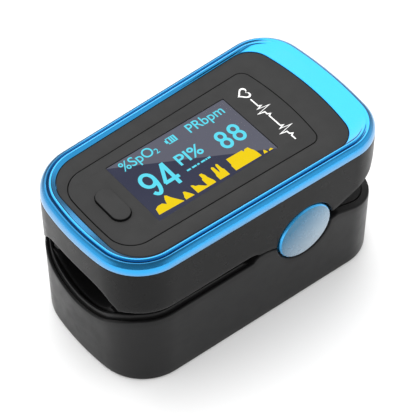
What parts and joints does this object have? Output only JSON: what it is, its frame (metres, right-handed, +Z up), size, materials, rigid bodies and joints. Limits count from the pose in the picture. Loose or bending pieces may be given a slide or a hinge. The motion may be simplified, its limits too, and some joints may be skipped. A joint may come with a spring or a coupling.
{
  "type": "fingertip pulse oximeter",
  "caption": "Sprung two-jaw fingertip clip with a display panel on top, a press button, round side pivot caps and a sliding battery door.",
  "frame": {"origin": "centre of the underside of the closed clip, on the surface it stands on", "axes": "+X towards the hinge end, -X towards the finger opening, +Y across, +Z up through the display"},
  "size_m": [0.06, 0.0342, 0.0329],
  "materials": {
    "shell_black": "fine satin moulded plastic",
    "frame_black": "matt moulded plastic",
    "pad_silicone": "soft matt silicone",
    "clear_window": "clear moulded window",
    "sensor_die": "dark epoxy",
    "flex_amber": "polyimide film",
    "cell_jacket": "printed foil jacket, satin",
    "spring_plate": "nickel plated spring sheet",
    "spring_wire": "drawn steel wire",
    "screw_steel": "zinc plated",
    "cap_blue": "gloss metallic blue with a bright bevel",
    "bezel_blue": "gloss metallic blue",
    "panel_black": "matt film",
    "lens_smoke": "smoked clear window",
    "foam_black": "foam gasket",
    "display_glass": "display glass",
    "white_plastic": "matt moulded plastic",
    "board_green": "solder mask",
    "chip_black": "moulded package with tinned legs",
    "can_silver": "stamped can",
    "ferrite_grey": "sintered core",
    "cap_tan": "ceramic chip",
    "socket_cream": "moulded socket",
    "led_body": "moulded LED body"
  },
  "bodies": {
    "lower_half": {"lower_shell": "shell_black", "lower_frame": "frame_black", "lower_pad": "pad_silicone", "receiver_window": "clear_window", "photodiode": "sensor_die", "receiver_board": "flex_amber", "battery_cell_left": "cell_jacket", "battery_cell_right": "cell_jacket", "bridge_contact": "spring_plate", "negative_contact": "spring_plate", "positive_contact": "spring_plate", "case_screws": "screw_steel", "hinge_rod": "screw_steel", "torsion_spring_left": "spring_wire", "torsion_spring_right": "spring_wire", "pivot_cap_left": "cap_blue", "pivot_cap_right": "cap_blue", "flex_cable": "flex_amber"},
    "upper_half": {"upper_shell": "shell_black", "bezel_ring": "bezel_blue", "top_panel": "panel_black", "panel_overlay": "panel_black", "display_lens": "lens_smoke", "display_gasket": "foam_black", "display_module": "display_glass", "display_holder": "white_plastic", "display_flex": "flex_amber", "main_board": "board_green", "board_screws": "screw_steel", "processor_chip": "chip_black", "amplifier_chip": "chip_black", "crystal": "can_silver", "power_inductor": "ferrite_grey", "capacitors": "cap_tan", "cable_socket": "socket_cream", "button_switch": "can_silver", "upper_frame": "frame_black", "upper_pad": "pad_silicone", "emitter_window": "clear_window", "emitter_led": "led_body", "emitter_board": "board_green", "jaw_screws": "screw_steel"},
    "button": {"power_button": "panel_black", "switch_plunger": "chip_black"},
    "door": {"battery_door": "shell_black"}
  },
  "joints": [
    {"name": "jaw_hinge", "type": "hinge", "parent": "lower_half", "child": "upper_half", "pos_m": [0.0092, 0, 0.01825], "axis": [0, 1, 0], "range_deg": [0, 14], "stiffness_Nm_per_rad": 0.12, "springref_deg": -28.65, "deforming": ["torsion_spring_left", "torsion_spring_right", "flex_cable"]},
    {"name": "button_press", "type": "slide", "parent": "upper_half", "child": "button", "axis": [0, 0, -1], "range_m": [0, 0.0003], "stiffness_N_per_m": 900, "springref_m": -0.0006},
    {"name": "door_slide", "type": "slide", "parent": "lower_half", "child": "door", "axis": [1, 0, 0], "range_m": [0, 0.056]}
  ]
}
